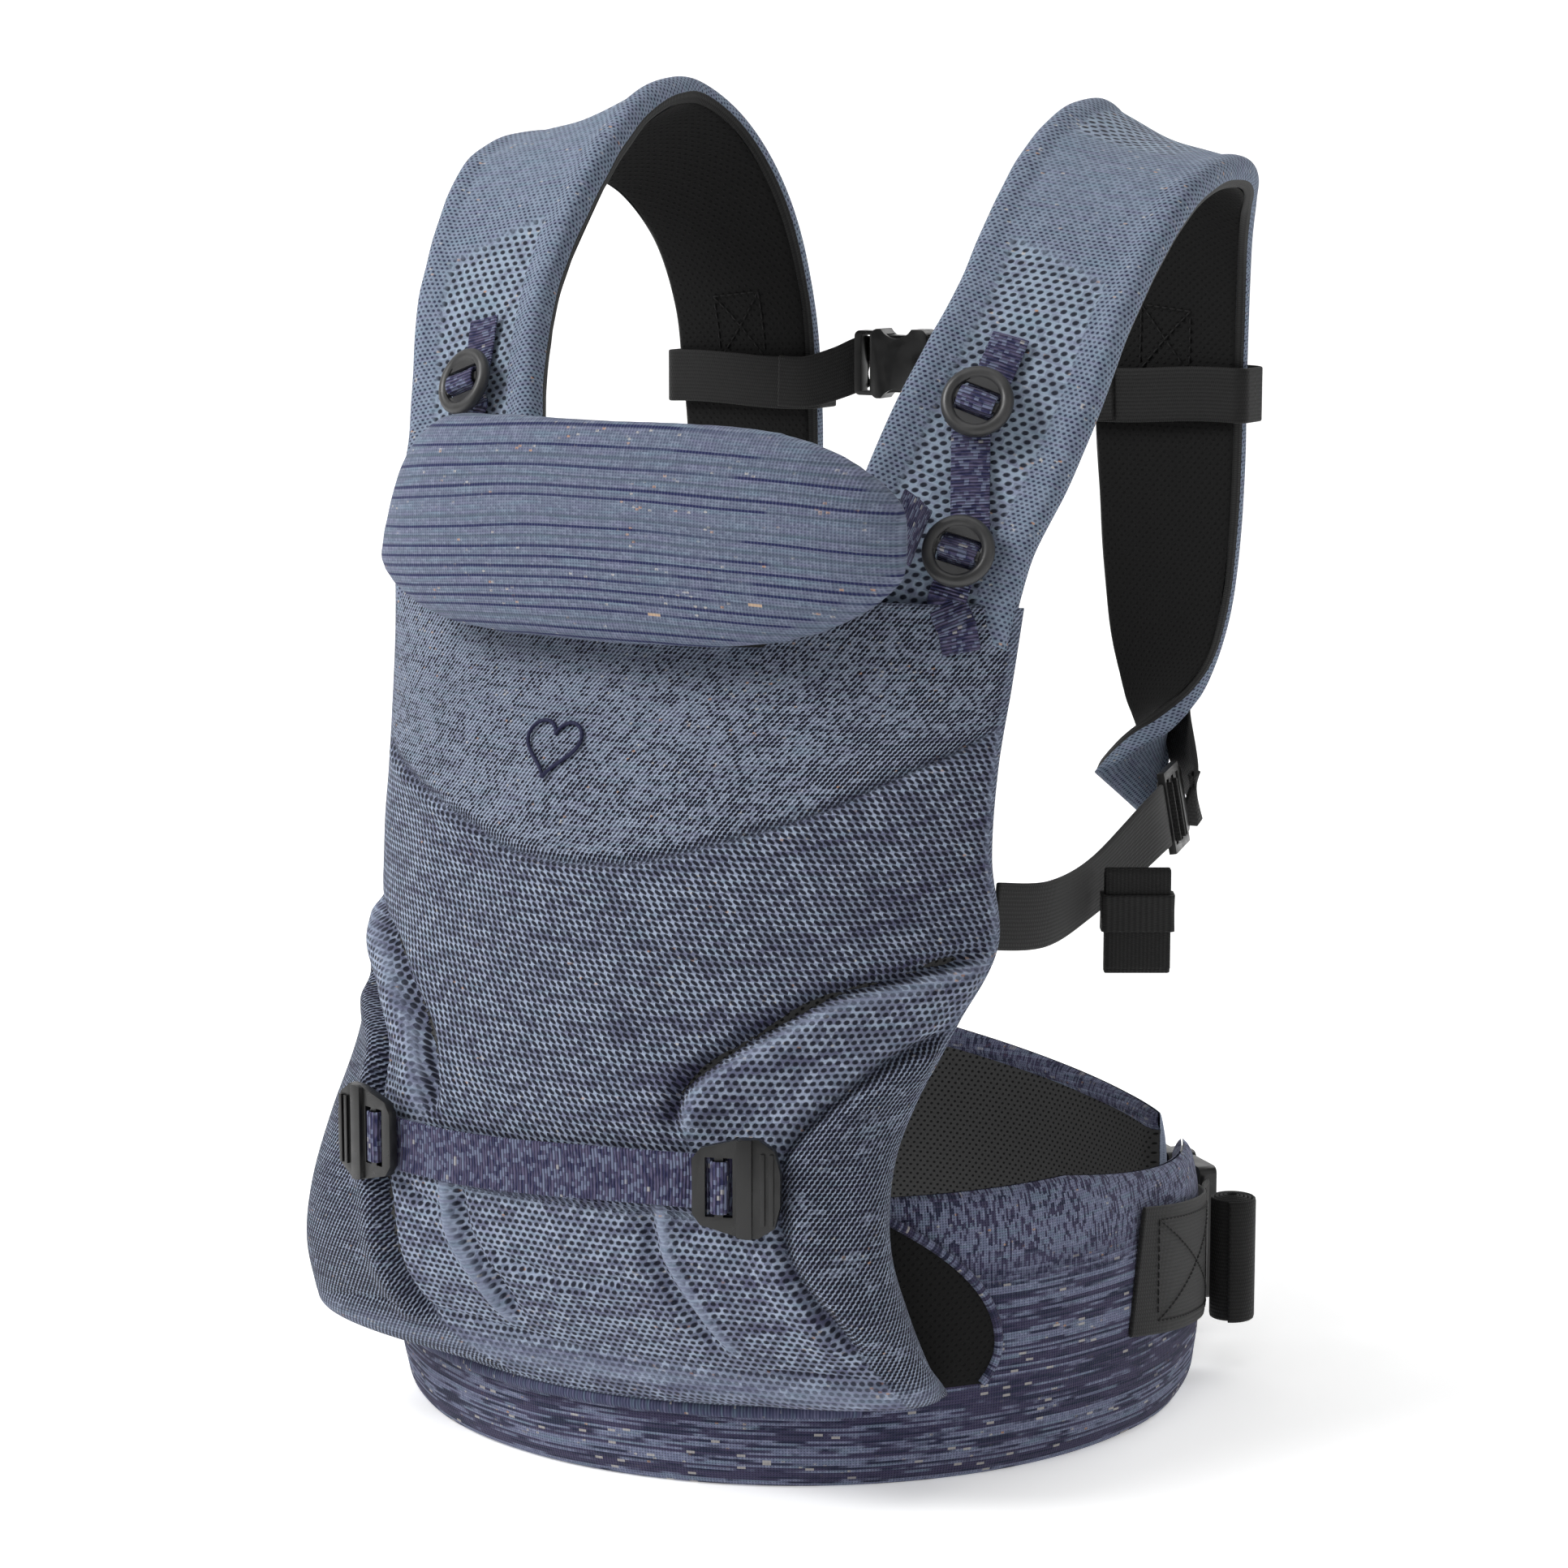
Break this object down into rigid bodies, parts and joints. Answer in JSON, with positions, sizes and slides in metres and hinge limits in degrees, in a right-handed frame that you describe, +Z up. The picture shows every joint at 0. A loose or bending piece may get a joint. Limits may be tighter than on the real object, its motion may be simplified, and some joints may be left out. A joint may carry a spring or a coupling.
{
  "type": "soft structured baby carrier",
  "caption": "Soft baby carrier in blue-grey knit, standing on its closed padded waist belt, with two looped shoulder straps, a headrest and black webbing with side-release buckles",
  "frame": {"origin": "on the floor under the middle of the whole carrier's footprint, with the waist belt closed and resting on its lower edge", "axes": "+Z up; -Y is the front, where the panel is; +X is the viewer's right as the front is looked at"},
  "size_m": [0.3256, 0.359, 0.5055],
  "materials": {
    "knit_blue": "matte",
    "knit_hem": "matte",
    "knit_navy": "matte",
    "melange_band": "matte",
    "mesh_black": "matte",
    "foam": "matte",
    "webbing_black": "matte",
    "elastic_black": "matte",
    "plastic_grey": "satin"
  },
  "bodies": {
    "carrier": {"front_panel": "knit_blue", "panel_lining": "mesh_black", "seat_hem": "knit_hem", "emblem": "knit_navy", "waist_belt_cover": "knit_navy", "waist_belt_foam": "foam", "waist_belt_lining": "mesh_black", "leg_gusset_left": "mesh_black", "leg_gusset_right": "mesh_black", "strap_cover_left": "knit_blue", "strap_cover_right": "knit_blue", "strap_foam_left": "foam", "strap_foam_right": "foam", "strap_lining_left": "mesh_black", "strap_lining_right": "mesh_black", "button_band_left": "melange_band", "button_band_right": "melange_band", "seat_band": "melange_band", "underarm_webbing_left": "webbing_black", "underarm_webbing_right": "webbing_black", "strap_tail_left": "webbing_black", "strap_tail_right": "webbing_black", "tail_keeper_left": "elastic_black", "tail_keeper_right": "elastic_black", "lock_loop_left": "webbing_black", "lock_loop_right": "webbing_black", "waist_patch_front": "webbing_black", "waist_patch_back": "webbing_black", "waist_webbing_front": "webbing_black", "waist_webbing_roll": "webbing_black", "waist_buckle_male": "plastic_grey"},
    "headrest": {"headrest_cover": "knit_blue", "headrest_foam": "foam", "headrest_tab_left": "melange_band", "headrest_tab_right": "melange_band"},
    "button_upper_left": {"ring_button_upper_left": "plastic_grey"},
    "button_upper_right": {"ring_button_upper_right": "plastic_grey"},
    "button_lower_left": {"ring_button_lower_left": "plastic_grey"},
    "button_lower_right": {"ring_button_lower_right": "plastic_grey"},
    "slider_left": {"seat_slider_left": "plastic_grey", "slider_wrap_left": "melange_band"},
    "slider_right": {"seat_slider_right": "plastic_grey", "slider_wrap_right": "melange_band"},
    "lock_left": {"ladder_lock_left": "plastic_grey", "lock_wrap_left": "webbing_black"},
    "lock_right": {"ladder_lock_right": "plastic_grey", "lock_wrap_right": "webbing_black"},
    "chest_strap": {"chest_loop_left": "webbing_black", "chest_loop_right": "webbing_black", "chest_webbing_left": "webbing_black", "chest_buckle_female": "plastic_grey"},
    "chest_male": {"chest_buckle_male": "plastic_grey", "chest_webbing_right": "webbing_black"},
    "chest_prong_up": {"chest_prong_upper": "plastic_grey"},
    "chest_prong_low": {"chest_prong_lower": "plastic_grey"},
    "waist_female": {"waist_buckle_female": "plastic_grey", "waist_webbing_back": "webbing_black"},
    "waist_prong_up": {"waist_prong_upper": "plastic_grey"},
    "waist_prong_low": {"waist_prong_lower": "plastic_grey"}
  },
  "joints": [
    {"name": "headrest_fold", "type": "hinge", "parent": "carrier", "child": "headrest", "pos_m": [0, -0.1174, 0.303], "axis": [1, 0, 0], "range_deg": [0, 110], "deforming": ["headrest_tab_left", "headrest_tab_right"]},
    {"name": "tilt_button_upper_right", "type": "hinge", "parent": "carrier", "child": "button_upper_right", "pos_m": [0.11262, -0.05313, 0.39686], "axis": [0.9318, 0.1583, -0.3267], "range_deg": [-4.5, 4.5]},
    {"name": "tilt_button_upper_left", "type": "hinge", "parent": "carrier", "child": "button_upper_left", "pos_m": [-0.11262, -0.05313, 0.39686], "axis": [0.9318, -0.1583, 0.3267], "range_deg": [-4.5, 4.5]},
    {"name": "tilt_button_lower_right", "type": "hinge", "parent": "carrier", "child": "button_lower_right", "pos_m": [0.11728, -0.07613, 0.34466], "axis": [0.9519, 0.169, -0.2554], "range_deg": [-4.5, 4.5]},
    {"name": "tilt_button_lower_left", "type": "hinge", "parent": "carrier", "child": "button_lower_left", "pos_m": [-0.11728, -0.07613, 0.34466], "axis": [0.9519, -0.169, 0.2554], "range_deg": [-4.5, 4.5]},
    {"name": "slide_seat_right", "type": "slide", "parent": "carrier", "child": "slider_right", "axis": [-0.9513, -0.3083, 0], "range_m": [0, 0.025]},
    {"name": "slide_seat_left", "type": "slide", "parent": "carrier", "child": "slider_left", "axis": [0.9513, -0.3083, 0], "range_m": [0, 0.025]},
    {"name": "tilt_lock_right", "type": "hinge", "parent": "carrier", "child": "lock_right", "pos_m": [0.11747, 0.12018, 0.2258], "axis": [-0.1499, -0.0848, 0.9851], "range_deg": [0, 20]},
    {"name": "tilt_lock_left", "type": "hinge", "parent": "carrier", "child": "lock_left", "pos_m": [-0.11747, 0.12018, 0.2258], "axis": [-0.1499, 0.0848, -0.9851], "range_deg": [0, 20]},
    {"name": "chest_height", "type": "slide", "parent": "carrier", "child": "chest_strap", "axis": [0, 0, 1], "range_m": [-0.015, 0.012]},
    {"name": "chest_unclip", "type": "slide", "parent": "chest_strap", "child": "chest_male", "axis": [1, 0, 0], "range_m": [0, 0.026], "deforming": ["chest_webbing_right"]},
    {"name": "chest_prong_upper_squeeze", "type": "hinge", "parent": "chest_male", "child": "chest_prong_up", "pos_m": [-0.005, 0.1328, 0.4071], "axis": [0, -1, 0], "range_deg": [0, 6], "stiffness_Nm_per_rad": 0.3},
    {"name": "chest_prong_lower_squeeze", "type": "hinge", "parent": "chest_male", "child": "chest_prong_low", "pos_m": [-0.005, 0.1328, 0.3869], "axis": [0, 1, 0], "range_deg": [0, 6], "stiffness_Nm_per_rad": 0.3},
    {"name": "waist_unclip", "type": "slide", "parent": "carrier", "child": "waist_female", "axis": [-0.766, 0.6428, 0], "range_m": [0, 0.028], "deforming": ["waist_webbing_back"]},
    {"name": "waist_prong_upper_squeeze", "type": "hinge", "parent": "carrier", "child": "waist_prong_up", "pos_m": [0.10959, 0.14421, 0.0681], "axis": [-0.6428, -0.766, 0], "range_deg": [0, 6], "stiffness_Nm_per_rad": 0.5},
    {"name": "waist_prong_lower_squeeze", "type": "hinge", "parent": "carrier", "child": "waist_prong_low", "pos_m": [0.10959, 0.14421, 0.0199], "axis": [0.6428, 0.766, 0], "range_deg": [0, 6], "stiffness_Nm_per_rad": 0.5}
  ],
  "couplings": [
    {"joint": "chest_prong_lower_squeeze", "follows": "chest_prong_upper_squeeze", "ratio": 1},
    {"joint": "waist_prong_lower_squeeze", "follows": "waist_prong_upper_squeeze", "ratio": 1}
  ]
}
